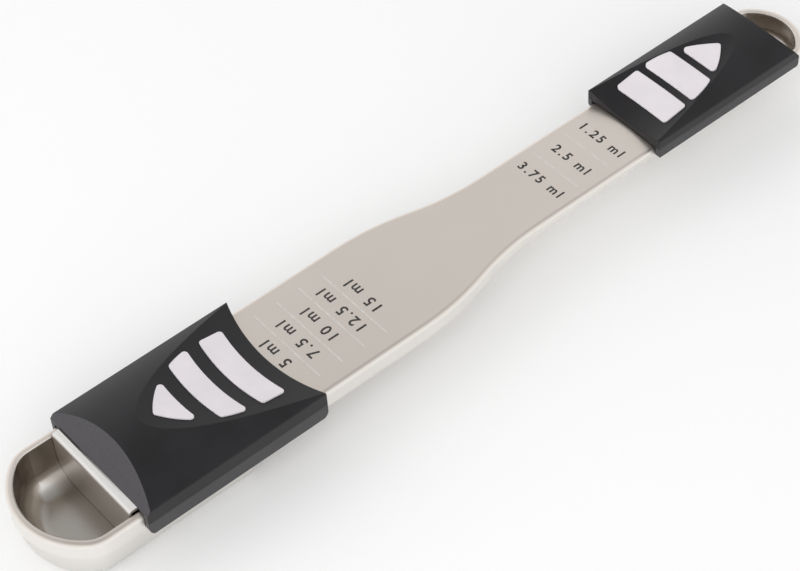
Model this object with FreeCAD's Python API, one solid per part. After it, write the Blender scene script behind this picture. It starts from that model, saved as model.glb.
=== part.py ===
import FreeCAD
import Part

import math
import os
from dataclasses import dataclass

# Double-ended adjustable measuring spoon, in millimetres.
# A metal spoon body has a trough-shaped bowl at each end of a flat handle. On each end a slider
# straddles the turned-down edges and carries a gate of the trough's section, which closes the bowl
# at the length that gives the wanted measure.
# Each piece is drawn with the handle's flat top at Z = 0 and the large bowl's tip at X = 0, and
# then moved to the spoon's own frame: X along the spoon towards the small bowl, Z up, and the
# origin at the middle of the length on the surface that the large bowl's foot stands on.

# Spoon body
SPOON_LENGTH = 240.0
LARGE_END_WIDTH = 34.4
SMALL_END_WIDTH = 22.6
TAPER_START = 103.0
TAPER_LENGTH = 40.6
PLATE_THICKNESS = 1.6
EDGE_ROUNDING = 1.2
SKIRT_WALL = 1.5
LARGE_SKIRT_DEPTH = 4.9
SMALL_SKIRT_DEPTH = 2.4
HEM_RISE_LENGTH = 52.0
HOLLOW_CORNER = 2.5

# Bowls
RIM_WIDTH = 2.0
BOWL_WALL = 1.0
BOWL_FLOOR = 0.8
MOUTH_BEVEL = 0.35
LARGE_TIP_RISE = 12.6
LARGE_TIP_CORNER = 8.4
LARGE_BOWL_LENGTH = 48.5
LARGE_BOWL_DEPTH = 13.0
LARGE_FLOOR_ROUNDING = 6.0
LARGE_FOOT_ROUNDING = 4.0
SMALL_TIP_RISE = 8.5
SMALL_TIP_CORNER = 5.8
SMALL_BOWL_LENGTH = 33.8
SMALL_BOWL_DEPTH = 6.7
SMALL_FLOOR_ROUNDING = 1.8
SMALL_FOOT_ROUNDING = 2.8

# Clearances, and the overrun of every cut
RUNNING_GAP = 0.25
GATE_GAP = 0.15
SEAT_GAP = 0.05
OVERRUN = 5.0

# Sizes that both sliders share
CROWN_HEIGHT = 6.8
DISH_TIP_HEIGHT = 6.6
REAR_LIP_HEIGHT = 1.1
CORNER_END_ANGLE = 81.0
COVER_WALL = 1.3
NOSE_BLOCK = 6.6
REAR_RIM = 4.0
LIP_THICKNESS = 0.85
LIP_REACH = 0.7
TONGUE_HEIGHT = 1.0
TONGUE_END = 2.0
RAIL_CORNER = 2.5
PAD_SEAT = 0.6
PAD_PROUD = 0.35
PAD_CORNER = 0.9

# Gates, their screws and the friction springs
GATE_SHEET = 0.8
GATE_FLANGE = 8.5
GATE_BEND = 1.2
FLANGE_CORNER = 2.0
SCREW_HEAD = 3.0
SCREW_SHANK = 1.4
SCREW_LENGTH = 3.2
SCREW_SETBACK = 4.6
SPRING_SHEET = 0.25
SPRING_LENGTH = 9.0
SPRING_WIDTH = 6.0
SPRING_SEAT_HEIGHT = 1.05
SPRING_PLATE_GAP = 0.1

# Large slider, measured back from its front edge
LARGE_SLIDER_FRONT = 21.5
LARGE_SLIDER_LENGTH = 50.4
LARGE_SLIDER_SIDE = 1.45
LARGE_RAIL_TOP = -1.7
LARGE_RAIL_BEVEL = 0.4
LARGE_GATE_LEDGE = 2.4
LARGE_NOSE_SETBACK = 5.2
LARGE_REAR_BOW = 3.3
LARGE_DISH_TIP = 14.0
LARGE_DISH_RADIUS = 98.0
LARGE_ARCH_ANGLE = 27.0
LARGE_CORNER_RADIUS = 0.5
LARGE_PAD_TIP = 16.1
LARGE_PAD_SHOULDER = 38.0
LARGE_PAD_MARGIN = 6.6
LARGE_PAD_BOW_RADIUS = 65.0
LARGE_TIP_PAD_END = 22.8
LARGE_MIDDLE_PAD_START = 26.7
LARGE_MIDDLE_PAD_END = 32.6
LARGE_REAR_PAD_START = 36.3
LARGE_REAR_PAD_END = 42.8
LARGE_SPRING_START = 31.0

# Small slider, measured back from its front edge
SMALL_SLIDER_FRONT = 9.3
SMALL_SLIDER_LENGTH = 49.0
SMALL_SLIDER_SIDE = 1.25
SMALL_RAIL_TOP = 0.6
SMALL_RAIL_BEVEL = 1.2
SMALL_GATE_LEDGE = 0.5
SMALL_NOSE_SETBACK = 4.2
SMALL_REAR_BOW = 0.6
SMALL_DISH_TIP = 12.8
SMALL_DISH_RADIUS = 32.0
SMALL_ARCH_ANGLE = 30.5
SMALL_CORNER_RADIUS = 0.5
SMALL_PAD_TIP = 15.4
SMALL_PAD_SHOULDER = 35.3
SMALL_PAD_MARGIN = 4.0
SMALL_PAD_BOW_RADIUS = 40.0
SMALL_TIP_PAD_END = 23.2
SMALL_MIDDLE_PAD_START = 25.4
SMALL_MIDDLE_PAD_END = 32.9
SMALL_REAR_PAD_START = 35.1
SMALL_REAR_PAD_END = 42.4
SMALL_SPRING_START = 29.3

BEVEL_LEAN_SHARE = 0.75
TOLERANCE_SHARE = 0.0005
TOLERANCE = SPOON_LENGTH * TOLERANCE_SHARE
STAND_HEIGHT = LARGE_BOWL_DEPTH + BOWL_FLOOR


def vec(x, y, z):
    return FreeCAD.Vector(x, y, z)


def line(a, b):
    return Part.LineSegment(a, b).toShape()


def arc(a, b, c):
    return Part.Arc(a, b, c).toShape()


def polygon(points):
    return Part.Face(Part.makePolygon(points + [points[0]]))


def box(x0, x1, y0, y1, z0, z1):
    return Part.makeBox(x1 - x0, y1 - y0, z1 - z0, vec(x0, y0, z0))


def side_prism(points, half_width):
    """Extrudes an outline given as (x, z) points evenly to both sides of Y = 0."""
    face = polygon([vec(x, -half_width, z) for x, z in points])
    return face.extrude(vec(0, 2 * half_width, 0))


# Spoon body


@dataclass(frozen=True)
class BowlEnd:
    """One end of the spoon, measured inward from its own tip."""

    half_width: float
    tip_rise: float
    tip_corner: float
    skirt_depth: float
    bowl_length: float
    bowl_depth: float
    floor_rounding: float
    foot_rounding: float

    @property
    def bowl_half(self):
        return self.half_width - RIM_WIDTH

    @property
    def heel(self):
        return RIM_WIDTH + self.bowl_length

    def tip_points(self, inset):
        """Places on the tip's outline: straight side, corner's middle, corner's end, tip."""
        a = self.half_width - inset
        b = self.tip_rise - inset
        r = self.tip_corner - inset
        front = (b * b + (a - r) ** 2 - r * r) / (2 * (b - r))
        nose = vec(inset + front, 0, 0)
        corner = vec(self.tip_rise, a - r, 0)
        outward = (corner - nose).normalize()
        middle = (outward + vec(0, 1, 0)).normalize()
        return (vec(self.tip_rise, a, 0), corner + middle * r, nose + outward * front, vec(inset, 0, 0))


LARGE_END = BowlEnd(
    half_width=LARGE_END_WIDTH / 2,
    tip_rise=LARGE_TIP_RISE,
    tip_corner=LARGE_TIP_CORNER,
    skirt_depth=LARGE_SKIRT_DEPTH,
    bowl_length=LARGE_BOWL_LENGTH,
    bowl_depth=LARGE_BOWL_DEPTH,
    floor_rounding=LARGE_FLOOR_ROUNDING,
    foot_rounding=LARGE_FOOT_ROUNDING,
)

SMALL_END = BowlEnd(
    half_width=SMALL_END_WIDTH / 2,
    tip_rise=SMALL_TIP_RISE,
    tip_corner=SMALL_TIP_CORNER,
    skirt_depth=SMALL_SKIRT_DEPTH,
    bowl_length=SMALL_BOWL_LENGTH,
    bowl_depth=SMALL_BOWL_DEPTH,
    floor_rounding=SMALL_FLOOR_ROUNDING,
    foot_rounding=SMALL_FOOT_ROUNDING,
)


def from_small_tip(point):
    return vec(SPOON_LENGTH - point.x, point.y, point.z)


def mirrored(point):
    return vec(point.x, -point.y, point.z)


def taper_points(inset):
    """Five places on the double curve between the wide and the narrow side."""
    start = vec(TAPER_START, LARGE_END.half_width - inset, 0)
    end = vec(TAPER_START + TAPER_LENGTH, SMALL_END.half_width - inset, 0)
    drop = start.y - end.y
    radius = (TAPER_LENGTH ** 2 + drop ** 2) / (4 * drop)
    half_turn = math.asin(TAPER_LENGTH / 2 / radius) / 2
    step = vec(radius * math.sin(half_turn), radius * (math.cos(half_turn) - 1), 0)
    return start, start + step, (start + end) * 0.5, end - step, end


def side_edges(inset):
    """The outline's left half, from the large tip to the small tip."""
    side, corner, corner_end, tip = LARGE_END.tip_points(inset)
    far_side, far_corner, far_corner_end, far_tip = map(from_small_tip, SMALL_END.tip_points(inset))
    t0, t1, t2, t3, t4 = taper_points(inset)
    return [
        arc(corner_end, corner, side),
        line(side, t0),
        arc(t0, t1, t2),
        arc(t2, t3, t4),
        line(t4, far_side),
        arc(far_side, far_corner, far_corner_end),
    ], (corner_end, tip), (far_corner_end, far_tip)


def body_outline(inset):
    """The spoon's plan, drawn in from its outer edge."""
    left, (near, near_tip), (far, far_tip) = side_edges(inset)
    right = [edge.mirror(vec(0, 0, 0), vec(0, 1, 0)) for edge in left]
    caps = [arc(near, near_tip, mirrored(near)), arc(far, far_tip, mirrored(far))]
    return Part.Face(Part.Wire(Part.__sortEdges__(left + right + caps)))


def bowl_plan(end, grown):
    """A bowl's mouth, from its rounded tip to its square heel, made larger all round by grown."""
    side, corner, corner_end, tip = end.tip_points(RIM_WIDTH - grown)
    heel = vec(end.heel + grown, side.y, 0)
    edges = [
        arc(mirrored(corner_end), tip, corner_end),
        arc(corner_end, corner, side),
        line(side, heel),
        line(heel, mirrored(heel)),
        line(mirrored(heel), mirrored(side)),
        arc(mirrored(side), mirrored(corner), mirrored(corner_end)),
    ]
    return Part.Face(Part.Wire(edges))


def bowl_block(end, grown, top, bottom, rounding):
    """A bowl as a solid block between two heights, with the floor's edges rounded but for the heel's."""
    plan = bowl_plan(end, grown)
    plan.translate(vec(0, 0, top))
    block = plan.extrude(vec(0, 0, bottom - top))
    floor = [edge for edge in block.Edges if edge.BoundBox.ZMax < bottom + TOLERANCE]
    rounded = [edge for edge in floor if not at_x(edge, (end.heel + grown,))]
    return block.makeFillet(rounding, rounded)


def bowl_space(end):
    """What a bowl's hollow takes from the spoon."""
    return bowl_block(end, 0, OVERRUN, -end.bowl_depth, end.floor_rounding)


def bowl_shell(end):
    """The outside of one bowl below the handle, with the flat foot that it stands on."""
    bottom = -end.bowl_depth - BOWL_FLOOR
    return bowl_block(end, BOWL_WALL, -PLATE_THICKNESS, bottom, end.foot_rounding)


def to_small_end(shape):
    """Turns a piece drawn from a tip at X = 0 round to the small tip."""
    turned = shape.copy()
    turned.rotate(vec(0, 0, 0), vec(0, 0, 1), 180)
    turned.translate(vec(SPOON_LENGTH, 0, 0))
    return turned


def handle_slab():
    """The flat handle with its rounded top edge, and a hem that is shallower at the small end."""
    slab = body_outline(0).extrude(vec(0, 0, -LARGE_SKIRT_DEPTH))
    rim = [edge for edge in slab.Edges if edge.BoundBox.ZMin > -TOLERANCE]
    slab = slab.makeFillet(EDGE_ROUNDING, rim)
    below = -LARGE_SKIRT_DEPTH - OVERRUN
    past = SPOON_LENGTH + OVERRUN
    hem = [
        (TAPER_START, below),
        (TAPER_START, -LARGE_SKIRT_DEPTH),
        (TAPER_START + HEM_RISE_LENGTH, -SMALL_SKIRT_DEPTH),
        (past, -SMALL_SKIRT_DEPTH),
        (past, below),
    ]
    return slab.cut(side_prism(hem, LARGE_END_WIDTH))


def handle_hollow():
    """The tray under the handle, between the two bowls."""
    start = LARGE_END.heel + BOWL_WALL + SKIRT_WALL
    end = SPOON_LENGTH - SMALL_END.heel - BOWL_WALL - SKIRT_WALL
    hollow = body_outline(SKIRT_WALL).extrude(vec(0, 0, -LARGE_SKIRT_DEPTH - OVERRUN))
    hollow.translate(vec(0, 0, -PLATE_THICKNESS))
    reach = LARGE_END_WIDTH
    depth = LARGE_SKIRT_DEPTH + PLATE_THICKNESS + 2 * OVERRUN
    hollow = hollow.common(box(start, end, -reach, reach, -depth, 0))
    corners = [edge for edge in hollow.Edges if is_upright(edge) and at_x(edge, (start, end))]
    return hollow.makeFillet(HOLLOW_CORNER, corners)


def is_upright(edge):
    size = edge.BoundBox
    return size.XLength < TOLERANCE and size.YLength < TOLERANCE


def at_x(edge, places):
    return any(abs(edge.BoundBox.XMin - x) < TOLERANCE for x in places)


def mouth_edges(body, end, near, far):
    """The sharp edges where a bowl's hollow meets the handle's top."""
    found = []
    for edge in body.Edges:
        size = edge.BoundBox
        flat = abs(size.ZMin) < TOLERANCE and abs(size.ZMax) < TOLERANCE
        inside = size.YMax < end.bowl_half + TOLERANCE and near < size.XMin and size.XMax < far
        if flat and inside:
            found.append(edge)
    return found


def spoon_body():
    body = handle_slab().cut(handle_hollow())
    body = body.fuse(bowl_shell(LARGE_END)).fuse(to_small_end(bowl_shell(SMALL_END)))
    body = body.cut(bowl_space(LARGE_END)).cut(to_small_end(bowl_space(SMALL_END)))
    body = body.removeSplitter()
    mouths = mouth_edges(body, LARGE_END, 0, TAPER_START)
    mouths += mouth_edges(body, SMALL_END, TAPER_START, SPOON_LENGTH)
    return body.makeChamfer(MOUTH_BEVEL, mouths)


# Sliders, drawn with their front edge at X = 0 and their back towards +X


@dataclass(frozen=True)
class PadSpan:
    """Where one grip pad starts and ends on the slider's middle line."""

    start: float
    end: float


@dataclass(frozen=True)
class SliderSizes:
    end: BowlEnd
    front: float
    length: float
    side: float
    rail_top: float
    rail_bevel: float
    gate_ledge: float
    nose_setback: float
    rear_bow: float
    dish_tip: float
    dish_radius: float
    arch_angle: float
    corner_radius: float
    pad_tip: float
    pad_shoulder: float
    pad_margin: float
    pad_bow_radius: float
    pads: dict
    spring_start: float

    @property
    def inner_half(self):
        return self.end.half_width + RUNNING_GAP

    @property
    def half_width(self):
        return self.inner_half + self.side

    @property
    def width(self):
        return 2 * self.half_width

    @property
    def tongue(self):
        return (self.half_width - self.inner_half - SEAT_GAP) / 2

    @property
    def rail_bottom(self):
        return -self.end.skirt_depth - RUNNING_GAP - LIP_THICKNESS

    @property
    def gate_half(self):
        return self.end.bowl_half - GATE_GAP

    @property
    def rear_middle(self):
        return self.length - self.rear_bow

    @property
    def dish_slope(self):
        return (DISH_TIP_HEIGHT - REAR_LIP_HEIGHT) / (self.rear_middle - self.dish_tip)


FLANGE_TOP = RUNNING_GAP + GATE_SHEET

LARGE_SLIDER = SliderSizes(
    end=LARGE_END,
    front=LARGE_SLIDER_FRONT,
    length=LARGE_SLIDER_LENGTH,
    side=LARGE_SLIDER_SIDE,
    rail_top=LARGE_RAIL_TOP,
    rail_bevel=LARGE_RAIL_BEVEL,
    gate_ledge=LARGE_GATE_LEDGE,
    nose_setback=LARGE_NOSE_SETBACK,
    rear_bow=LARGE_REAR_BOW,
    dish_tip=LARGE_DISH_TIP,
    dish_radius=LARGE_DISH_RADIUS,
    arch_angle=LARGE_ARCH_ANGLE,
    corner_radius=LARGE_CORNER_RADIUS,
    pad_tip=LARGE_PAD_TIP,
    pad_shoulder=LARGE_PAD_SHOULDER,
    pad_margin=LARGE_PAD_MARGIN,
    pad_bow_radius=LARGE_PAD_BOW_RADIUS,
    pads={
        "tip": PadSpan(0, LARGE_TIP_PAD_END),
        "middle": PadSpan(LARGE_MIDDLE_PAD_START, LARGE_MIDDLE_PAD_END),
        "rear": PadSpan(LARGE_REAR_PAD_START, LARGE_REAR_PAD_END),
    },
    spring_start=LARGE_SPRING_START,
)

SMALL_SLIDER = SliderSizes(
    end=SMALL_END,
    front=SMALL_SLIDER_FRONT,
    length=SMALL_SLIDER_LENGTH,
    side=SMALL_SLIDER_SIDE,
    rail_top=SMALL_RAIL_TOP,
    rail_bevel=SMALL_RAIL_BEVEL,
    gate_ledge=SMALL_GATE_LEDGE,
    nose_setback=SMALL_NOSE_SETBACK,
    rear_bow=SMALL_REAR_BOW,
    dish_tip=SMALL_DISH_TIP,
    dish_radius=SMALL_DISH_RADIUS,
    arch_angle=SMALL_ARCH_ANGLE,
    corner_radius=SMALL_CORNER_RADIUS,
    pad_tip=SMALL_PAD_TIP,
    pad_shoulder=SMALL_PAD_SHOULDER,
    pad_margin=SMALL_PAD_MARGIN,
    pad_bow_radius=SMALL_PAD_BOW_RADIUS,
    pads={
        "tip": PadSpan(0, SMALL_TIP_PAD_END),
        "middle": PadSpan(SMALL_MIDDLE_PAD_START, SMALL_MIDDLE_PAD_END),
        "rear": PadSpan(SMALL_REAR_PAD_START, SMALL_REAR_PAD_END),
    },
    spring_start=SMALL_SPRING_START,
)


def arch_block(s, half_width, crown, bottom):
    """A bar with the slider's section: a low arch whose corners turn down into upright sides."""
    arch, end = math.radians(s.arch_angle), math.radians(CORNER_END_ANGLE)
    arch_radius = (half_width - s.corner_radius * (math.sin(end) - math.sin(arch))) / math.sin(arch)
    top = vec(0, 0, crown)
    arch_centre = vec(0, 0, crown - arch_radius)
    knuckle = arch_centre + vec(0, math.sin(arch), math.cos(arch)) * arch_radius
    corner_centre = knuckle - vec(0, math.sin(arch), math.cos(arch)) * s.corner_radius
    half_turn = (arch + end) / 2
    bulge = corner_centre + vec(0, math.sin(half_turn), math.cos(half_turn)) * s.corner_radius
    shoulder = corner_centre + vec(0, math.sin(end), math.cos(end)) * s.corner_radius
    foot = vec(0, half_width, bottom)
    edges = [
        line(mirrored(foot), foot),
        line(foot, shoulder),
        arc(shoulder, bulge, knuckle),
        arc(knuckle, top, mirrored(knuckle)),
        arc(mirrored(knuckle), mirrored(bulge), mirrored(shoulder)),
        line(mirrored(shoulder), mirrored(foot)),
    ]
    return Part.Face(Part.Wire(edges)).extrude(vec(s.length, 0, 0))


def nose_cut(s, shift, below):
    """All that lies in front of the sloping nose face, moved back by shift."""
    top = CROWN_HEIGHT + OVERRUN
    lean = s.nose_setback / (CROWN_HEIGHT - FLANGE_TOP)
    points = [
        (-OVERRUN, below),
        (shift, below),
        (shift, FLANGE_TOP),
        (shift + lean * (top - FLANGE_TOP), top),
        (-OVERRUN, top),
    ]
    if below == FLANGE_TOP:
        points.pop(1)
    return side_prism(points, s.width)


def dish(s, lift):
    """The thumb dish: all above a sloping hollow whose middle line falls to the rear lip."""
    along = vec(1, 0, -s.dish_slope).normalize()
    outward = vec(s.dish_slope, 0, 1).normalize()
    tip = vec(s.dish_tip, 0, DISH_TIP_HEIGHT + lift)
    base = tip + outward * s.dish_radius - along * s.length
    return Part.makeCylinder(s.dish_radius, 3 * s.length, base, along)


def rear_cut(s):
    """A round that bows the slider's rear edge forward in the middle."""
    radius = (s.half_width ** 2 + s.rear_bow ** 2) / (2 * s.rear_bow)
    height = CROWN_HEIGHT + 2 * OVERRUN
    return Part.makeCylinder(radius, height, vec(s.rear_middle + radius, 0, -OVERRUN))


def cover_skin(s):
    """The cover's outer form as one solid block."""
    bottom = min(s.rail_top, RUNNING_GAP)
    block = arch_block(s, s.half_width, CROWN_HEIGHT, bottom)
    return block.cut(nose_cut(s, 0, FLANGE_TOP)).cut(dish(s, 0)).cut(rear_cut(s))


def cover_hollow(s):
    """The space under the cover's skin, behind the solid nose that the gate's screw bites into."""
    bottom = min(s.rail_top, 0) - OVERRUN
    end = s.rear_middle - REAR_RIM
    space = arch_block(s, s.inner_half, CROWN_HEIGHT - COVER_WALL, bottom)
    space = space.common(box(0, end, -s.width, s.width, bottom, CROWN_HEIGHT))
    return space.cut(nose_cut(s, NOSE_BLOCK, bottom - OVERRUN)).cut(dish(s, -COVER_WALL))


def upright_cylinder(diameter, x, z0, z1):
    return Part.makeCylinder(diameter / 2, z1 - z0, vec(x, 0, z0))


def rail_seat(s):
    """What the two rails and their tongues take from the cover's lower edge."""
    low = min(s.rail_top, 0) - OVERRUN
    lap = s.inner_half + s.tongue + SEAT_GAP
    tongue_top = s.rail_top + TONGUE_HEIGHT + SEAT_GAP
    ends = (TONGUE_END - SEAT_GAP, s.length - s.rear_bow - TONGUE_END + SEAT_GAP)
    cuts = []
    for a, b in ((s.inner_half, s.width), (-s.width, -s.inner_half)):
        cuts.append(box(-OVERRUN, s.length + OVERRUN, a, b, low, s.rail_top))
    for a, b in ((s.inner_half, lap), (-lap, -s.inner_half)):
        cuts.append(box(ends[0], ends[1], a, b, low, tongue_top))
    return cuts


def gate_slot(s):
    half = s.gate_half + SEAT_GAP
    return box(-OVERRUN, GATE_FLANGE + SEAT_GAP, -half, half, -OVERRUN, FLANGE_TOP)


def handle_passage(s):
    low = min(s.rail_top, 0) - OVERRUN
    return box(-OVERRUN, s.length + OVERRUN, -s.inner_half, s.inner_half, low, RUNNING_GAP)


def spring_pocket(s):
    half = SPRING_WIDTH / 2 + SEAT_GAP
    start = s.spring_start - SEAT_GAP
    end = s.spring_start + SPRING_LENGTH + SEAT_GAP
    return box(start, end, -half, half, -OVERRUN, SPRING_SEAT_HEIGHT)


def slider_cover(s):
    cover = cover_skin(s).cut(cover_hollow(s))
    cuts = rail_seat(s) + [gate_slot(s), handle_passage(s), spring_pocket(s)]
    pilot_end = RUNNING_GAP + SCREW_LENGTH + SEAT_GAP
    cuts.append(upright_cylinder(SCREW_SHANK + SEAT_GAP, SCREW_SETBACK, 0, pilot_end))
    for span in s.pads.values():
        cuts.append(pad_prism(s, span, SEAT_GAP).common(dish(s, -PAD_SEAT - SEAT_GAP)))
    for tool in cuts:
        cover = cover.cut(tool)
    return cover.removeSplitter()


def pad_leaf(s):
    """The pointed arch that the three pads fill together."""
    half = s.half_width - s.pad_margin
    run = s.pad_shoulder - s.pad_tip
    radius = (run * run + half * half) / (2 * half)
    turn = math.asin(run / radius) / 2
    tip = vec(s.pad_shoulder - run, 0, 0)
    shoulder = vec(s.pad_shoulder, half, 0)
    bulge = vec(s.pad_shoulder - radius * math.sin(turn), half - radius * (1 - math.cos(turn)), 0)
    end = vec(s.length, half, 0)
    edges = [
        arc(tip, bulge, shoulder),
        line(shoulder, end),
        line(end, mirrored(end)),
        line(mirrored(end), mirrored(shoulder)),
        arc(mirrored(shoulder), mirrored(bulge), tip),
    ]
    return Part.Face(Part.Wire(edges))


def pad_band(s, span):
    """A strip across the slider with both its edges bowed towards the front."""
    lag = s.pad_bow_radius - math.sqrt(s.pad_bow_radius ** 2 - s.half_width ** 2)
    side = s.half_width
    near = vec(span.start + lag, side, 0)
    far = vec(span.end + lag, side, 0)
    edges = [
        arc(near, vec(span.start, 0, 0), mirrored(near)),
        line(mirrored(near), mirrored(far)),
        arc(mirrored(far), vec(span.end, 0, 0), far),
        line(far, near),
    ]
    return Part.Face(Part.Wire(edges))


def pad_prism(s, span, grown):
    """An upright bar with a pad's outline, its corners rounded, made larger all round by grown."""
    sharp = pad_leaf(s).common(pad_band(s, span)).Faces[0]
    core = sharp.makeOffset2D(-PAD_CORNER)
    return core.makeOffset2D(PAD_CORNER + grown).extrude(vec(0, 0, CROWN_HEIGHT + OVERRUN))


def grip_pad(s, span):
    """A soft pad seated in its pocket, standing a little proud of the dish."""
    return pad_prism(s, span, 0).common(dish(s, -PAD_SEAT)).cut(dish(s, PAD_PROUD))


def slider_rail(s):
    """The right rail: the side below the cover, with a lip that hooks under the spoon's edge."""
    outer, inner, lip = s.half_width, s.inner_half, s.end.half_width - LIP_REACH
    top, bottom = s.rail_top, s.rail_bottom
    hook = -s.end.skirt_depth - RUNNING_GAP
    bevel = s.rail_bevel
    foot = ((lip, bottom), (outer - bevel * BEVEL_LEAN_SHARE, bottom), (outer, bottom + bevel))
    places = foot + ((outer, top), (inner, top), (inner, hook), (lip, hook))
    profile = polygon([vec(0, y, z) for y, z in places])
    rail = profile.extrude(vec(s.length, 0, 0)).common(rail_side(s))
    tongue_end = s.length - s.rear_bow - TONGUE_END
    tongue = box(TONGUE_END, tongue_end, inner, inner + s.tongue, hook, top + TONGUE_HEIGHT)
    return rail.fuse(tongue).removeSplitter()


def rail_side(s):
    """The rail seen from the side: a bar with its two lower corners rounded."""
    bar = box(0, s.length, 0, s.width, s.rail_bottom, s.rail_top)
    low = s.rail_bottom + TOLERANCE
    corners = [edge for edge in bar.Edges if is_crosswise(edge) and edge.BoundBox.ZMax < low]
    return bar.makeFillet(RAIL_CORNER, corners)


def is_crosswise(edge):
    size = edge.BoundBox
    return size.XLength < TOLERANCE and size.ZLength < TOLERANCE


def is_lengthwise(edge):
    size = edge.BoundBox
    return size.YLength < TOLERANCE and size.ZLength < TOLERANCE


def slider_gate(s):
    """A bent sheet: a gate of the bowl's section in front, and a flange that is screwed to the cover."""
    half, depth = s.gate_half, s.end.bowl_depth - GATE_GAP
    face = -s.gate_ledge
    blade = box(face, face + GATE_SHEET, -half, half, -depth, FLANGE_TOP)
    lower = [edge for edge in blade.Edges if is_lengthwise(edge) and edge.BoundBox.ZMax < 0]
    blade = blade.makeFillet(s.end.floor_rounding - GATE_GAP, lower)
    flange = box(face, GATE_FLANGE, -half, half, RUNNING_GAP, FLANGE_TOP)
    corners = [edge for edge in flange.Edges if is_upright(edge) and at_x(edge, (GATE_FLANGE,))]
    gate = blade.fuse(flange.makeFillet(FLANGE_CORNER, corners)).removeSplitter()
    front = [edge for edge in gate.Edges if is_crosswise(edge) and at_x(edge, (face,))]
    bend = [edge for edge in front if edge.BoundBox.ZMin > 0]
    gate = gate.makeFillet(GATE_BEND, bend)
    return gate.cut(screw_form(SEAT_GAP))


def screw_form(grown):
    """A countersunk screw, its head flush with the flange's underside, made larger by grown."""
    shank = SCREW_SHANK + grown
    head = Part.makeCone(SCREW_HEAD / 2 + grown, shank / 2, GATE_SHEET, vec(SCREW_SETBACK, 0, RUNNING_GAP))
    body = upright_cylinder(shank, SCREW_SETBACK, RUNNING_GAP, RUNNING_GAP + SCREW_LENGTH)
    return body.fuse(head).removeSplitter()


def friction_spring(s):
    """A bowed leaf that lies in its pocket and presses on the handle to hold the setting."""
    start, end = s.spring_start, s.spring_start + SPRING_LENGTH
    middle = (start + end) / 2
    low = SPRING_PLATE_GAP
    high = SPRING_SEAT_HEIGHT - SPRING_SHEET
    side = -SPRING_WIDTH / 2
    edges = [
        arc(vec(start, side, high), vec(middle, side, low), vec(end, side, high)),
        line(vec(end, side, high), vec(end, side, high + SPRING_SHEET)),
        arc(
            vec(end, side, high + SPRING_SHEET),
            vec(middle, side, low + SPRING_SHEET),
            vec(start, side, high + SPRING_SHEET),
        ),
        line(vec(start, side, high + SPRING_SHEET), vec(start, side, high)),
    ]
    return Part.Face(Part.Wire(edges)).extrude(vec(0, SPRING_WIDTH, 0))


def slider_pieces(s):
    """One slider's pieces; left and right are seen from behind, looking towards its bowl."""
    rail = slider_rail(s)
    pieces = {
        "slider_cover": slider_cover(s),
        "right_rail": rail,
        "left_rail": rail.mirror(vec(0, 0, 0), vec(0, 1, 0)),
        "gate": slider_gate(s),
        "gate_screw": screw_form(0),
        "friction_spring": friction_spring(s),
    }
    for name, span in s.pads.items():
        pieces[name + "_grip_pad"] = grip_pad(s, span)
    for piece in pieces.values():
        piece.translate(vec(s.front, 0, 0))
    return pieces


def all_pieces():
    pieces = {"spoon_body": spoon_body()}
    for name, piece in slider_pieces(LARGE_SLIDER).items():
        pieces["large_" + name] = piece
    for name, piece in slider_pieces(SMALL_SLIDER).items():
        pieces["small_" + name] = to_small_end(piece)
    for piece in pieces.values():
        piece.translate(vec(-SPOON_LENGTH / 2, 0, STAND_HEIGHT))
    return pieces


os.makedirs("parts", exist_ok=True)
for node, shape in all_pieces().items():
    shape.exportStep("parts/" + node + ".step")
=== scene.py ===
"""Looks of a double-ended adjustable measuring spoon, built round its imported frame, in metres."""
import logging
import math
from dataclasses import dataclass, field
from enum import Enum
from typing import Any, Union

import bpy
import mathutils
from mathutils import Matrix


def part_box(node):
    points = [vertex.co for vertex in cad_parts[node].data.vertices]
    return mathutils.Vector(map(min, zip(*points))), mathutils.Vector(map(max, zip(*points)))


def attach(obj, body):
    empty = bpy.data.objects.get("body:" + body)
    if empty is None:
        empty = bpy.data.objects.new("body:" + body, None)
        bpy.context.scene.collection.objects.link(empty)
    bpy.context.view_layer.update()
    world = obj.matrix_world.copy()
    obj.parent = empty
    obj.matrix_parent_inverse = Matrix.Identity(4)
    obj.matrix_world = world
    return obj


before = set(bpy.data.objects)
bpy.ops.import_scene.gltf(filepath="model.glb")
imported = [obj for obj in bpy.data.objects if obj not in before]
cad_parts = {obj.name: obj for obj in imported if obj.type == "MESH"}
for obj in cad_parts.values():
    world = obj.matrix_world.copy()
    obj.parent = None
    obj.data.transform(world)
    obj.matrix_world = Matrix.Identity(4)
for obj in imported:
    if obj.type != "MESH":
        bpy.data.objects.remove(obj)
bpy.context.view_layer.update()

LOG = logging.getLogger("measuring_spoon")
MM = 0.001
QUARTER_TURN = math.radians(90.0)
PLATE_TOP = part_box("spoon_body")[1][2]
Colour = tuple[float, float, float]
Vector = tuple[float, float, float]
Range = tuple[float, float]
Tint = Union[Colour, bpy.types.NodeSocket]


class Operation(Enum):
    """The sums that a shader value takes part in."""

    ADD = "ADD"
    SUBTRACT = "SUBTRACT"
    MULTIPLY = "MULTIPLY"
    LESS = "LESS_THAN"
    GREATER = "GREATER_THAN"


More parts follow.
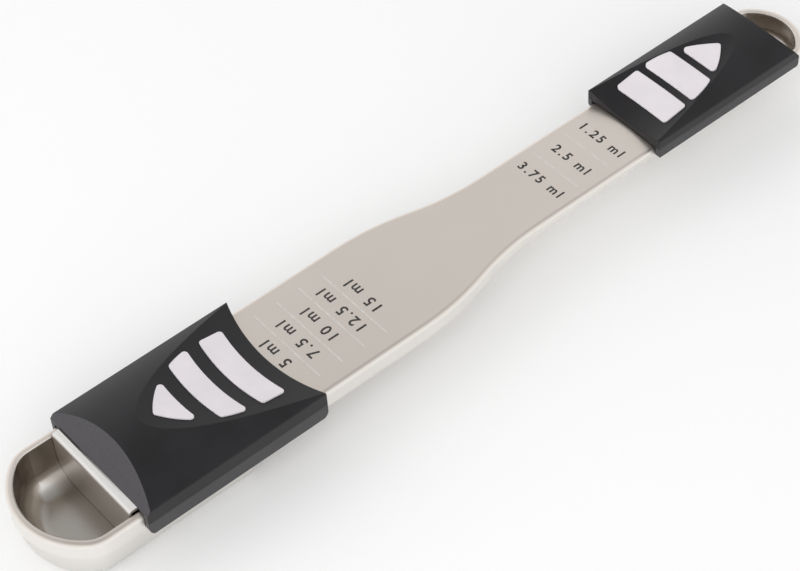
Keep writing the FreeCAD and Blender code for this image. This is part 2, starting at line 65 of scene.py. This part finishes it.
class Value:
    """A number on a node socket, which adds Math nodes when it is reckoned with."""

    def __init__(self, graph: "Graph", socket: bpy.types.NodeSocket) -> None:
        """Keeps the graph that the socket belongs to, and the socket."""
        self.graph = graph
        self.socket = socket

    def _sum(self, operation: Operation, first: "Term", second: "Term") -> "Value":
        """Adds one Math node, with its upper and its lower term."""
        node = self.graph.node("ShaderNodeMath", {"operation": operation.value}, {0: first, 1: second})
        return Value(self.graph, node.outputs[0])

    def __add__(self, other: "Term") -> "Value":
        """This value plus another."""
        return self._sum(Operation.ADD, self, other)

    def __sub__(self, other: "Term") -> "Value":
        """This value less another."""
        return self._sum(Operation.SUBTRACT, self, other)

    def __rsub__(self, other: "Term") -> "Value":
        """Another value less this one."""
        return self._sum(Operation.SUBTRACT, other, self)

    def __mul__(self, other: "Term") -> "Value":
        """This value times another."""
        return self._sum(Operation.MULTIPLY, self, other)

    def __lt__(self, other: "Term") -> "Value":
        """One where this value is the lesser, else nought."""
        return self._sum(Operation.LESS, self, other)

    def __gt__(self, other: "Term") -> "Value":
        """One where this value is the greater, else nought."""
        return self._sum(Operation.GREATER, self, other)

    __radd__ = __add__
    __rmul__ = __mul__


Term = Union[Value, float]


class Graph:
    """The node tree of one material or of the world."""

    CLOUD_OCTAVES = 3.0
    CLOUD_RANGE: Range = (0.3, 0.7)
    EDGE_SAMPLES = 6
    # A Mix node's sockets repeat their names for each kind of value, so those for colours go by number.
    MIX_FIRST = 6
    MIX_SECOND = 7
    MIX_RESULT = 2

    def __init__(self, owner: Union[bpy.types.Material, bpy.types.World]) -> None:
        """Empties a node tree and keeps it.

        Args:
            owner: the material or world whose tree it is.
        """
        owner.use_nodes = True
        self.tree = owner.node_tree
        self.tree.nodes.clear()

    def node(self, kind: str, settings: dict[str, Any], inputs: dict[Any, Any]) -> bpy.types.Node:
        """Adds a node.

        Args:
            kind: the node's type.
            settings: its own properties; "stops" holds a ramp's places and grey levels.
            inputs: socket name or number to a value, a Value or an output socket.

        Returns:
            The new node.
        """
        node = self.tree.nodes.new(kind)
        for name, setting in settings.items():
            if name == "stops":
                self._set_stops(node.color_ramp, setting)
            else:
                setattr(node, name, setting)
        for name, given in inputs.items():
            source = given.socket if isinstance(given, Value) else given
            if isinstance(source, bpy.types.NodeSocket):
                self.tree.links.new(source, node.inputs[name])
            else:
                node.inputs[name].default_value = source
        return node

    @staticmethod
    def _set_stops(ramp: bpy.types.ColorRamp, stops: tuple[tuple[float, float], ...]) -> None:
        """Gives a ramp its stops.

        Args:
            ramp: the ramp, with its two first stops.
            stops: places along it and their grey levels, in order.
        """
        while len(ramp.elements) < len(stops):
            ramp.elements.new(1.0)
        for element, (place, level) in zip(ramp.elements, stops):
            element.position = place
            element.color = (level, level, level, 1.0)

    def value(self, kind: str, settings: dict[str, Any], inputs: dict[Any, Any]) -> Value:
        """A new node's first output as a number to reckon with."""
        return Value(self, self.node(kind, settings, inputs).outputs[0])

    def place(self) -> bpy.types.NodeSocket:
        """The point of the surface, in the object's own metres."""
        return self.node("ShaderNodeTexCoord", {}, {}).outputs["Object"]

    def facing(self) -> bpy.types.NodeSocket:
        """The way that the surface faces."""
        return self.node("ShaderNodeNewGeometry", {}, {}).outputs["Normal"]

    def parts(self, vector: bpy.types.NodeSocket) -> list[Value]:
        """A vector's three parts as numbers."""
        split = self.node("ShaderNodeSeparateXYZ", {}, {0: vector})
        return [Value(self, output) for output in split.outputs]

    def noise(self, cells: Union[float, Vector], octaves: float = 2.0, sharpness: float = 0.5) -> Value:
        """Clouded noise.

        Args:
            cells: cells for each metre, one number for all axes or one for each.
            octaves: how many finer layers there are.
            sharpness: how much the finer layers count.

        Returns:
            Noise round a half.
        """
        scale = cells if isinstance(cells, tuple) else (cells, cells, cells)
        stretched = self.node("ShaderNodeMapping", {}, {"Vector": self.place(), "Scale": scale}).outputs[0]
        inputs = {"Vector": stretched, "Scale": 1.0, "Detail": octaves, "Roughness": sharpness}
        return self.value("ShaderNodeTexNoise", {}, inputs)

    def cloud(self, cells: float) -> Value:
        """Noise in soft clouds."""
        return self.noise(cells, self.CLOUD_OCTAVES)

    def clouded(self, cloud: Value, deep: Colour, pale: Colour) -> bpy.types.NodeSocket:
        """A colour that drifts between two shades with a cloud."""
        return self.blend(self.spread(cloud, self.CLOUD_RANGE), deep, pale)

    def blend(self, factor: Term, first: Tint, second: Tint) -> bpy.types.NodeSocket:
        """Mixes two colours.

        Args:
            factor: nought for the first, one for the second.
            first: a colour or a colour socket.
            second: a colour or a colour socket.

        Returns:
            The mixed colour.
        """
        tints = {self.MIX_FIRST: self._colour(first), self.MIX_SECOND: self._colour(second)}
        mix = self.node("ShaderNodeMix", {"data_type": "RGBA"}, {"Factor": factor, **tints})
        return mix.outputs[self.MIX_RESULT]

    @staticmethod
    def _colour(given: Tint) -> Any:
        """A colour of three numbers with its alpha, and a socket as it is."""
        return (*given, 1.0) if isinstance(given, tuple) else given

    def spread(self, value: Value, limits: Range) -> Value:
        """A value moved from a range to nought and one, and held between them."""
        low, high = limits
        return self.value("ShaderNodeMapRange", {"clamp": True}, {0: value, 1: low, 2: high})

    def relief(self, height: Value, depth: float, edge: float) -> bpy.types.NodeSocket:
        """A surface normal with softened edges and a fine relief.

        Args:
            height: the relief, from nought to one.
            depth: its depth in metres.
            edge: the radius that sharp edges appear to have.

        Returns:
            The normal.
        """
        soft = self.node("ShaderNodeBevel", {"samples": self.EDGE_SAMPLES}, {"Radius": edge}).outputs[0]
        inputs = {"Strength": 1.0, "Distance": depth, "Height": height, "Normal": soft}
        return self.node("ShaderNodeBump", {}, inputs).outputs[0]

    def surface(self, inputs: dict[str, Any]) -> None:
        """Ends the tree in one Principled surface with these sockets."""
        shader = self.node("ShaderNodeBsdfPrincipled", {}, inputs)
        self.node("ShaderNodeOutputMaterial", {}, {"Surface": shader.outputs[0]})


@dataclass(frozen=True)
class BowlPlace:
    """Where a bowl lies along the spoon.

    Attributes:
        start: just outside its end on the large side.
        end: just outside its end on the small side.
        middle: the place that its inside faces.
    """

    start: float
    end: float
    middle: float


@dataclass(frozen=True)
class SatinMetal:
    """Warm pearl-finished metal with a fine blasted grain outside and smooth bowls, with painted shade,
    painted reflections and painted highlights in the bowls and on the outside.

    Attributes:
        pale: the handle's lighter shade.
        deep: the handle's darker shade.
        side: the skirt and the tops of the bowls' outsides, lighter as a painted reflection of the floor
            beside them.
        painted_foot_shade: the bowls' outsides low down, darker as painted shade.
        foot_shade_height: how high up the painted shade fades out.
        painted_wall_shade: the large bowl's upright walls, darkened as painted shade and painted
            reflection.
        painted_small_wall_light: the small bowl's upright walls, lighter than the large bowl's as a
            painted reflection.
        painted_ring_highlight: the rounding between the walls and the floor, a painted highlight.
        floor: the bowls' flat floors, dulled as a painted reflection.
        top_turn: upward part of the facing over which the skirt becomes the handle's top.
        ring_turn: upward part of the facing over which a bowl's walls give way to its rounding.
        floor_turn: upward part of the facing over which the rounding becomes the floor.
        bowls: where the large and the small bowl lie.
        rim_depth: how far below the handle's top the inside of a bowl begins.
        focus: how far above the handle the point lies that the inside of a bowl faces.
        unevenness: how much rubbing and clouds each change the roughness.
        cloud_cells: clouds for each metre.
        rubbing_cells: rubbing marks for each metre on the three axes.
        grain_cells: blasted grains for each metre.
        edge: the radius that sharp edges appear to have.
    """

    name: str = "satin_metal"
    pale: Colour = (0.825, 0.758, 0.696)
    deep: Colour = (0.775, 0.710, 0.650)
    # Painted reflection on the skirt and painted shade low on the bowls' outsides.
    side: Colour = (0.875, 0.845, 0.805)
    painted_foot_shade: Colour = (0.70, 0.69, 0.665)
    foot_shade_height: float = 10.0 * MM
    # Painted shade, painted reflections and a painted highlight inside the bowls.
    painted_wall_shade: Colour = (0.50, 0.455, 0.40)
    painted_small_wall_light: Colour = (0.86, 0.80, 0.75)
    painted_ring_highlight: Colour = (0.97, 0.94, 0.90)
    floor: Colour = (0.50, 0.475, 0.435)
    top_turn: Range = (0.2, 0.9)
    ring_turn: Range = (0.1, 0.6)
    floor_turn: Range = (0.8, 0.995)
    bowls: tuple[BowlPlace, BowlPlace] = (
        BowlPlace(start=-121.0 * MM, end=-69.0 * MM, middle=-94.0 * MM),
        BowlPlace(start=83.5 * MM, end=121.0 * MM, middle=101.0 * MM),
    )
    rim_depth: float = 0.3 * MM
    focus: float = 5.0 * MM
    plate_roughness: float = 0.36
    bowl_roughness: float = 0.24
    unevenness: float = 0.06
    cloud_cells: float = 22.0
    rubbing_cells: Vector = (60.0, 900.0, 900.0)
    grain_cells: float = 2600.0
    grain_octaves: float = 1.0
    grain_depth: float = 0.005 * MM
    edge: float = 0.15 * MM

    def _inside(self, graph: Graph) -> Value:
        """Finds the insides of the bowls.

        Args:
            graph: the material's graph.

        Returns:
            One on the inner walls and floors of the bowls, else nought.
        """
        x, y, z = graph.parts(graph.place())
        turn_x, turn_y, turn_z = graph.parts(graph.facing())
        below = z < PLATE_TOP - self.rim_depth
        across = (0.0 - y) * turn_y + (PLATE_TOP + self.focus - z) * turn_z
        large, small = (
            (x > bowl.start) * (x < bowl.end) * ((bowl.middle - x) * turn_x + across > 0.0) * below
            for bowl in self.bowls
        )
        return large + small

    def _painted_bowl_shading(self, graph: Graph) -> bpy.types.NodeSocket:
        """Paints shade, reflections and a highlight into the colour inside a bowl.

        Args:
            graph: the material's graph.

        Returns:
            The colour, from the painted shade of the walls over a painted highlight on the rounding to the
            painted reflection of the floor.
        """
        upward = graph.parts(graph.facing())[2]
        at_small_end = graph.parts(graph.place())[0] > 0.0
        # Painted shade and reflection on the walls, a painted highlight on the rounding, a painted
        # reflection on the floor.
        painted_wall_shade = graph.blend(at_small_end, self.painted_wall_shade, self.painted_small_wall_light)
        rounding = graph.blend(graph.spread(upward, self.ring_turn), painted_wall_shade, self.painted_ring_highlight)
        return graph.blend(graph.spread(upward, self.floor_turn), rounding, self.floor)

    def material(self) -> bpy.types.Material:
        """Builds the finish.

        Returns:
            The material.
        """
        made = bpy.data.materials.new(self.name)
        graph = Graph(made)
        inside = self._inside(graph)
        cloud = graph.cloud(self.cloud_cells)
        grain = graph.noise(self.grain_cells, self.grain_octaves)
        rubbing = graph.noise(self.rubbing_cells)
        height = graph.parts(graph.place())[2]
        upward = graph.parts(graph.facing())[2]
        plate = graph.clouded(cloud, self.deep, self.pale)
        # Painted shade low down and a painted reflection higher on the skirt and sides.
        side = graph.blend(graph.spread(height, (0.0, self.foot_shade_height)), self.painted_foot_shade, self.side)
        outside = graph.blend(graph.spread(upward, self.top_turn), side, plate)
        roughness = self.plate_roughness - inside * (self.plate_roughness - self.bowl_roughness)
        graph.surface({
            "Base Color": graph.blend(inside, outside, self._painted_bowl_shading(graph)),
            "Metallic": 1.0,
            "Roughness": (
                roughness + rubbing * self.unevenness + cloud * self.unevenness - self.unevenness
            ),
            "Normal": graph.relief(grain * (1.0 - inside), self.grain_depth, self.edge),
        })
        return made


@dataclass(frozen=True)
class MouldedPlastic:
    """Charcoal plastic from a fine-sparked mould, speckled on the sloping noses, whose grey is a painted
    sheen.

    Attributes:
        painted_nose_sheen: the grey of the sloping noses, a painted sheen.
        nose_lean: least lengthwise part of the facing on the sloping noses.
        nose_rise: least upward part of the facing on the sloping noses.
        nose_sheen_share: how much painted sheen the noses have besides their speckles.
        shine: strength of the mirrored light.
        unevenness: how much grain and clouds each change the roughness.
        cloud_cells: clouds for each metre.
        grain_cells: grains for each metre.
        edge: the radius that sharp edges appear to have.
    """

    name: str
    pale: Colour
    deep: Colour
    # Painted sheen on the sloping noses.
    painted_nose_sheen: Colour = (0.074, 0.070, 0.078)
    nose_lean: float = 0.5
    nose_rise: float = 0.3
    nose_sheen_share: float = 0.3
    shine: float = 0.32
    roughness: float = 0.40
    unevenness: float = 0.1
    cloud_cells: float = 90.0
    grain_cells: float = 3200.0
    grain_octaves: float = 2.0
    grain_sharpness: float = 0.6
    grain_depth: float = 0.012 * MM
    edge: float = 0.3 * MM

    def material(self) -> bpy.types.Material:
        """Builds the finish.

        Returns:
            The material.
        """
        made = bpy.data.materials.new(self.name)
        graph = Graph(made)
        along, _, upward = graph.parts(graph.facing())
        painted_nose_sheen = (along * along > self.nose_lean ** 2) * (upward > self.nose_rise)
        cloud = graph.cloud(self.cloud_cells)
        grain = graph.noise(self.grain_cells, self.grain_octaves, self.grain_sharpness)
        plain = graph.clouded(cloud, self.deep, self.pale)
        graph.surface({
            # The noses' grey is a painted sheen, speckled with the grain.
            "Base Color": graph.blend(painted_nose_sheen * (grain + self.nose_sheen_share), plain, self.painted_nose_sheen),
            "Roughness": (
                self.roughness + grain * self.unevenness + cloud * self.unevenness - self.unevenness
            ),
            "Normal": graph.relief(grain, self.grain_depth, self.edge),
            "Specular IOR Level": self.shine,
        })
        return made


@dataclass(frozen=True)
class SoftRubber:
    """Off-white grip rubber, dull and very slightly mottled.

    Attributes:
        unevenness: how much the grain changes the roughness.
        cloud_cells: clouds for each metre.
        grain_cells: grains for each metre.
        edge: the radius that sharp edges appear to have.
    """

    name: str = "white_rubber"
    pale: Colour = (0.81, 0.765, 0.80)
    deep: Colour = (0.75, 0.71, 0.74)
    roughness: float = 0.62
    unevenness: float = 0.12
    cloud_cells: float = 140.0
    grain_cells: float = 2400.0
    grain_depth: float = 0.01 * MM
    edge: float = 0.3 * MM

    def material(self) -> bpy.types.Material:
        """Builds the finish.

        Returns:
            The material.
        """
        made = bpy.data.materials.new(self.name)
        graph = Graph(made)
        cloud = graph.cloud(self.cloud_cells)
        grain = graph.noise(self.grain_cells)
        graph.surface({
            "Base Color": graph.clouded(cloud, self.deep, self.pale),
            "Roughness": self.roughness + grain * self.unevenness - self.unevenness / 2,
            "Normal": graph.relief(grain, self.grain_depth, self.edge),
        })
        return made


@dataclass(frozen=True)
class SheetSteel:
    """Bright rolled steel with fine drawn lines, with painted brown shade on its upright faces and a
    painted shadow line.

    Attributes:
        seam: where the large gate's flange goes under the cover, along the spoon.
        seam_reach: how far the painted shadow line runs to either side of that place.
        seam_rise: least upward part of the facing where the line shows.
        seam_fade: places across the spoon between which the painted shadow line darkens.
        seam_painted_shadow: the colour of that line, a painted shadow.
        painted_upright_shade: the colour of the upright faces, a painted shade.
        painted_shade_turn: upward part of the facing over which the painted shade gives way to clean
            steel.
        metal: how far the surface mirrors as metal does.
        unevenness: how much lines and clouds each change the roughness.
        cloud_cells: clouds for each metre.
        line_cells: drawn lines for each metre on the three axes.
        edge: the radius that sharp edges appear to have.
    """

    name: str = "gate_steel"
    seam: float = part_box("large_slider_cover")[0][0]
    # A painted shadow line where the large gate's flange goes under the cover.
    seam_reach: float = 0.4 * MM
    seam_rise: float = 0.5
    seam_fade: Range = (-12.0 * MM, 8.0 * MM)
    seam_painted_shadow: Colour = (0.05, 0.045, 0.045)
    pale: Colour = (0.94, 0.925, 0.905)
    deep: Colour = (0.90, 0.885, 0.865)
    # Painted shade on the upright faces.
    painted_upright_shade: Colour = (0.40, 0.35, 0.305)
    painted_shade_turn: Range = (0.2, 1.0)
    metal: float = 0.6
    roughness: float = 0.32
    unevenness: float = 0.08
    cloud_cells: float = 120.0
    line_cells: Vector = (300.0, 9000.0, 4200.0)
    line_depth: float = 0.001 * MM
    edge: float = 0.1 * MM

    def material(self) -> bpy.types.Material:
        """Builds the finish.

        Returns:
            The material.
        """
        made = bpy.data.materials.new(self.name)
        graph = Graph(made)
        lines = graph.noise(self.line_cells)
        cloud = graph.cloud(self.cloud_cells)
        clean = graph.clouded(cloud, self.deep, self.pale)
        along, across, _ = graph.parts(graph.place())
        upward = graph.parts(graph.facing())[2]
        # Painted shadow line where the flange goes under the cover.
        seam = (along > self.seam - self.seam_reach) * (along < self.seam + self.seam_reach)
        painted_shadow = seam * (upward > self.seam_rise) * graph.spread(across, self.seam_fade)
        bright = graph.blend(painted_shadow, clean, self.seam_painted_shadow)
        graph.surface({
            # Painted shade on the upright faces, clean steel on the rest.
            "Base Color": graph.blend(graph.spread(upward, self.painted_shade_turn), self.painted_upright_shade, bright),
            "Metallic": self.metal,
            "Roughness": (
                self.roughness + lines * self.unevenness + cloud * self.unevenness - self.unevenness
            ),
            "Normal": graph.relief(lines, self.line_depth, self.edge),
        })
        return made


@dataclass(frozen=True)
class ScaleInk:
    """Printed ink or etching of the scale, a little worn and uneven.

    Attributes:
        wear_cells: worn spots for each metre.
        wear_range: levels of wear between which the shade changes.
        unevenness: how much the wear changes the roughness.
    """

    name: str
    pale: Colour
    deep: Colour
    roughness: float = 0.5
    wear_cells: float = 700.0
    wear_range: Range = (0.35, 0.65)
    unevenness: float = 0.2

    def material(self) -> bpy.types.Material:
        """Builds the finish.

        Returns:
            The material.
        """
        made = bpy.data.materials.new(self.name)
        graph = Graph(made)
        wear = graph.cloud(self.wear_cells)
        graph.surface({
            "Base Color": graph.blend(graph.spread(wear, self.wear_range), self.deep, self.pale),
            "Roughness": self.roughness + wear * self.unevenness,
        })
        return made


class End(Enum):
    """The two ends of the spoon, each with its own slider."""

    LARGE = "large"
    SMALL = "small"


@dataclass
class SpoonBody:
    """The pressed metal spoon: two bowls and the handle plate between them."""

    finish: SatinMetal = field(default_factory=SatinMetal)

    def build(self) -> None:
        """Dresses the body's own solid."""
        dress("spoon_body", self.finish.material())


@dataclass
class Slider:
    """One sliding gate with its cover, rails, pads, screw and spring.

    Attributes:
        end: the end of the spoon that it runs on.
        plastic: material of the cover.
        rail: material of the rails.
        rubber: material of the pads.
        steel: material of the gate, the screw and the spring.
    """

    end: End
    plastic: bpy.types.Material
    rail: bpy.types.Material
    rubber: bpy.types.Material
    steel: bpy.types.Material

    def build(self) -> None:
        """Dresses the slider's solids."""
        dress(f"{self.end.value}_slider_cover", self.plastic)
        for part in ("left_rail", "right_rail"):
            dress(f"{self.end.value}_{part}", self.rail)
        for part in ("tip_grip_pad", "middle_grip_pad", "rear_grip_pad"):
            dress(f"{self.end.value}_{part}", self.rubber)
        for part in ("gate", "gate_screw", "friction_spring"):
            dress(f"{self.end.value}_{part}", self.steel)


@dataclass
class Graduations:
    """The printed scale of one end: a measure on each row and a fine etched line between rows.

    Attributes:
        end: the end of the spoon.
        measures: what the rows say, from the first row on.
        first: the middle of the first row along the handle.
        step: the way from one row to the next.
        height: the height of the figures.
        line_length: how far a line runs across the handle.
        ink: the printing ink.
        etching: the pale etched line.
        line_width: how wide a line is.
        line_edge: the bevel of a line's edges.
        figure_share: the height of a figure as a share of the letters' nominal size.
        curve_steps: pieces that each curve of a letter is made of.
        letter_gap: spacing of the letters against their usual one.
        weight: how much bolder than usual the letters are.
        film: how far a mark stands above the handle.
        sunk: how far a mark reaches into the handle.
        merge_gap: points closer than this become one.
    """

    end: End
    measures: tuple[str, ...]
    first: float
    step: float
    height: float
    line_length: float
    ink: bpy.types.Material
    etching: bpy.types.Material
    line_width: float = 0.3 * MM
    line_edge: float = 0.0075 * MM
    figure_share: float = 0.7
    curve_steps: int = 3
    letter_gap: float = 1.35
    weight: float = 0.07 * MM
    film: float = 0.03 * MM
    sunk: float = 0.01 * MM
    merge_gap: float = 0.001 * MM

    def build(self) -> None:
        """Prints every row, and etches a line between each two."""
        for index, measure in enumerate(self.measures):
            along = self.first + index * self.step
            label = measure.replace(".", "_").replace(" ", "_")
            self._print(f"{self.end.value}_scale_{label}", measure, along)
            if index:
                self._etch(f"{self.end.value}_line_{index}", along - self.step / 2)

    def _print(self, name: str, words: str, along: float) -> None:
        """Prints one row.

        Args:
            name: the piece's name.
            words: what is printed.
            along: the middle of the row along the handle.
        """
        clear_selection()
        bpy.ops.object.text_add(location=(0.0, 0.0, 0.0))
        piece = bpy.context.object
        piece.data.body = words
        piece.data.size = self.height / self.figure_share
        piece.data.align_x = "CENTER"
        piece.data.align_y = "CENTER"
        piece.data.resolution_u = self.curve_steps
        piece.data.offset = self.weight
        piece.data.space_character = self.letter_gap
        bpy.ops.object.convert(target="MESH")
        bpy.ops.object.mode_set(mode="EDIT")
        bpy.ops.mesh.select_all(action="SELECT")
        bpy.ops.mesh.remove_doubles(threshold=self.merge_gap)
        rise = (0.0, 0.0, self.film + self.sunk)
        bpy.ops.mesh.extrude_region_move(TRANSFORM_OT_translate={"value": rise})
        bpy.ops.mesh.select_all(action="SELECT")
        bpy.ops.mesh.normals_make_consistent(inside=False)
        bpy.ops.object.mode_set(mode="OBJECT")
        turn = QUARTER_TURN if self.end is End.LARGE else -QUARTER_TURN
        self._lay(piece, name, along, turn, self.ink)

    def _etch(self, name: str, along: float) -> None:
        """Etches one fine line across the handle.

        Args:
            name: the piece's name.
            along: its place along the handle.
        """
        clear_selection()
        size = (self.line_width, self.line_length, self.film + self.sunk)
        bpy.ops.mesh.primitive_cube_add(size=1.0, location=(0.0, 0.0, size[2] / 2), scale=size)
        piece = bpy.context.object
        bpy.ops.object.transform_apply(location=True, rotation=True, scale=True)
        bpy.ops.object.mode_set(mode="EDIT")
        bpy.ops.mesh.select_all(action="SELECT")
        bpy.ops.mesh.bevel(offset=self.line_edge, segments=1)
        bpy.ops.object.mode_set(mode="OBJECT")
        self._lay(piece, name, along, 0.0, self.etching)

    def _lay(
        self, piece: bpy.types.Object, name: str, along: float, turn: float, material: bpy.types.Material,
    ) -> None:
        """Lays a mark on the handle.

        Args:
            piece: the mark, lying flat at the origin.
            name: its name.
            along: its place along the handle.
            turn: its turn about the upright.
            material: its finish.
        """
        piece.name = name
        piece.location = (along, 0.0, PLATE_TOP - self.sunk)
        piece.rotation_euler = (0.0, 0.0, turn)
        bpy.ops.object.transform_apply(location=True, rotation=True, scale=True)
        piece.data.materials.clear()
        piece.data.materials.append(material)
        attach(piece, "spoon")
        LOG.info("laid %s", name)


@dataclass(frozen=True)
class Lamp:
    """One soft square lamp that looks at the object and isn't mirrored in the metal.

    Attributes:
        name: the lamp's name.
        place: where it hangs.
        size: its side.
        power: its power in watts.
    """

    name: str
    place: Vector
    size: float
    power: float

    def hang(self) -> None:
        """Hangs the lamp in the studio."""
        light = bpy.data.lights.new(self.name, "AREA")
        light.size = self.size
        light.energy = self.power
        lamp = bpy.data.objects.new(self.name, light)
        bpy.context.scene.collection.objects.link(lamp)
        lamp.visible_glossy = False
        lamp.location = self.place
        lamp.rotation_euler = (-lamp.location).to_track_quat("-Z", "Y").to_euler()


@dataclass
class Studio:
    """The floor, the lamps, the sky and the camera.

    Attributes:
        floor_lit: the floor as it lights the object.
        floor_seen: the floor as the camera and the metal see it.
        floor_size: the floor's side.
        floor_drop: how far the floor lies below the feet.
        fibre_cells: paper fibres for each metre.
        fibre_unevenness: how much the fibres change the floor's roughness.
        sky: grey levels of the sky by the upward part of the direction.
        lamps: the lamps, in the order in which they are hung.
        lens: the camera's focal length in millimetres.
        sensor: the width of the camera's sensor in millimetres.
        nearest: how near to the camera a thing may be and still be seen.
        camera_place: where the camera stands.
        camera_turn: its turns about the three axes in degrees.
    """

    floor_lit: Colour = (0.80, 0.80, 0.80)
    floor_seen: Colour = (1.0, 1.0, 1.0)
    floor_size: float = 6.0
    floor_drop: float = 0.2 * MM
    floor_roughness: float = 0.85
    fibre_cells: float = 900.0
    fibre_unevenness: float = 0.1
    sky: tuple[tuple[float, float], ...] = (
        (0.0, 1.0), (0.4, 1.0), (0.7, 0.78), (0.8, 0.62), (0.9, 0.48), (1.0, 0.44),
    )
    lamps: tuple[Lamp, ...] = (
        Lamp(name="left_lamp", place=(-0.93, 0.65, 0.38), size=1.3, power=4.4),
        Lamp(name="front_lamp", place=(-0.72, -0.66, 0.72), size=1.4, power=5.8),
    )
    lens: float = 109.52
    sensor: float = 36.0
    nearest: float = 10.0 * MM
    camera_place: Vector = (-0.24044, -0.31387, 0.44085)
    camera_turn: Vector = (41.9025, 3.2902, -39.8094)

    def build(self) -> None:
        """Sets the whole studio."""
        self._floor()
        self._sky()
        for lamp in self.lamps:
            lamp.hang()
        self._camera()
        bpy.context.scene.view_settings.view_transform = "Standard"

    def _floor(self) -> None:
        """Lays the plain pale floor under the bowls."""
        clear_selection()
        bpy.ops.mesh.primitive_plane_add(size=self.floor_size, location=(0.0, 0.0, -self.floor_drop))
        floor = bpy.context.object
        floor.name = "studio_floor"
        made = bpy.data.materials.new("floor_paper")
        graph = Graph(made)
        fibre = graph.noise(self.fibre_cells)
        rays = graph.node("ShaderNodeLightPath", {}, {}).outputs
        kinds = ("Is Camera Ray", "Is Glossy Ray", "Is Transmission Ray")
        seen = sum((Value(graph, rays[kind]) for kind in kinds), 0.0)
        graph.surface({
            "Base Color": graph.blend(seen, self.floor_lit, self.floor_seen),
            "Roughness": self.floor_roughness + fibre * self.fibre_unevenness,
            "Specular IOR Level": 0.0,
        })
        floor.data.materials.append(made)

    def _sky(self) -> None:
        """Makes the sky, white at the horizon and greyer overhead."""
        world = bpy.data.worlds.new("studio_sky")
        bpy.context.scene.world = world
        graph = Graph(world)
        upward = graph.parts(graph.node("ShaderNodeTexCoord", {}, {}).outputs["Generated"])[2]
        level = graph.node("ShaderNodeValToRGB", {"stops": self.sky}, {0: upward}).outputs[0]
        back = graph.node("ShaderNodeBackground", {}, {"Color": level, "Strength": 1.0})
        graph.node("ShaderNodeOutputWorld", {}, {"Surface": back.outputs[0]})

    def _camera(self) -> None:
        """Sets the camera at the photograph's view."""
        data = bpy.data.cameras.new("camera")
        data.lens = self.lens
        data.sensor_width = self.sensor
        data.clip_start = self.nearest
        camera = bpy.data.objects.new("camera", data)
        bpy.context.scene.collection.objects.link(camera)
        camera.location = self.camera_place
        camera.rotation_euler = [math.radians(angle) for angle in self.camera_turn]
        bpy.context.scene.camera = camera


def clear_selection() -> None:
    """Deselects everything, so that an operator acts on the new piece alone."""
    bpy.ops.object.select_all(action="DESELECT")


def dress(node: str, material: bpy.types.Material) -> None:
    """Gives a solid of the frame its finish.

    Args:
        node: the solid's name.
        material: the finish.
    """
    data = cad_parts[node].data
    data.materials.clear()
    data.materials.append(material)
    LOG.info("dressed %s", node)


def main() -> None:
    """Builds the spoon, its sliders, its printed scales and the studio."""
    logging.basicConfig(level=logging.INFO, format="%(message)s")
    SpoonBody().build()
    plastic = MouldedPlastic(
        name="black_plastic", pale=(0.0175, 0.0160, 0.0182), deep=(0.0120, 0.0109, 0.0124),
    ).material()
    rail = MouldedPlastic(
        name="grey_plastic", pale=(0.058, 0.057, 0.060), deep=(0.047, 0.046, 0.049),
    ).material()
    rubber = SoftRubber().material()
    steel = SheetSteel().material()
    for end in End:
        Slider(end, plastic, rail, rubber, steel).build()
    ink = ScaleInk(
        name="scale_ink", pale=(0.05, 0.046, 0.043), deep=(0.018, 0.016, 0.016),
    ).material()
    etching = ScaleInk(
        name="scale_etching", pale=(0.70, 0.665, 0.63), deep=(0.60, 0.565, 0.53),
    ).material()
    Graduations(
        end=End.LARGE, measures=("5 ml", "7.5 ml", "10 ml", "12.5 ml", "15 ml"),
        first=-48.2 * MM, step=6.58 * MM, height=2.9 * MM, line_length=25.0 * MM,
        ink=ink, etching=etching,
    ).build()
    Graduations(
        end=End.SMALL, measures=("1.25 ml", "2.5 ml", "3.75 ml"),
        first=54.2 * MM, step=-10.14 * MM, height=2.6 * MM, line_length=16.0 * MM,
        ink=ink, etching=etching,
    ).build()
    Studio().build()


if __name__ == "__main__":
    main()
